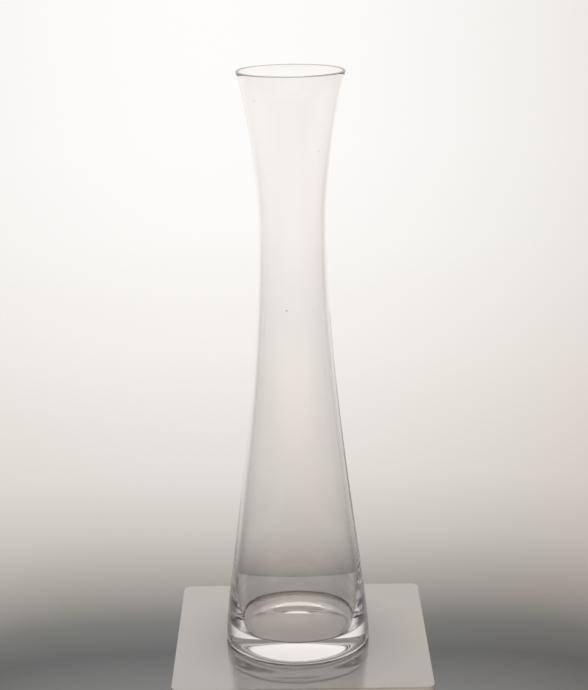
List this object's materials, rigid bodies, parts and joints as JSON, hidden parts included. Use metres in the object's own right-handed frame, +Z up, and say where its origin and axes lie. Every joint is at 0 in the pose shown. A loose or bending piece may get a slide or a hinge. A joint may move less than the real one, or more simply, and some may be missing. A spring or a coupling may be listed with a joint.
{
  "type": "flower vase",
  "caption": "Tall clear blown-glass vase: a wide heavy foot, a body narrowing to a slim waist and a flared mouth with a rounded lip.",
  "frame": {"origin": "centre of the foot, on the surface that the vase stands on", "axes": "+Z up along the axis of the vase, from foot to mouth; the vase is the same all the way round"},
  "size_m": [0.0878, 0.0878, 0.35],
  "materials": {
    "clear_glass": "fire-polished, glossy and clear"
  },
  "bodies": {
    "root": {"vase_body": "clear_glass"}
  },
  "joints": []
}
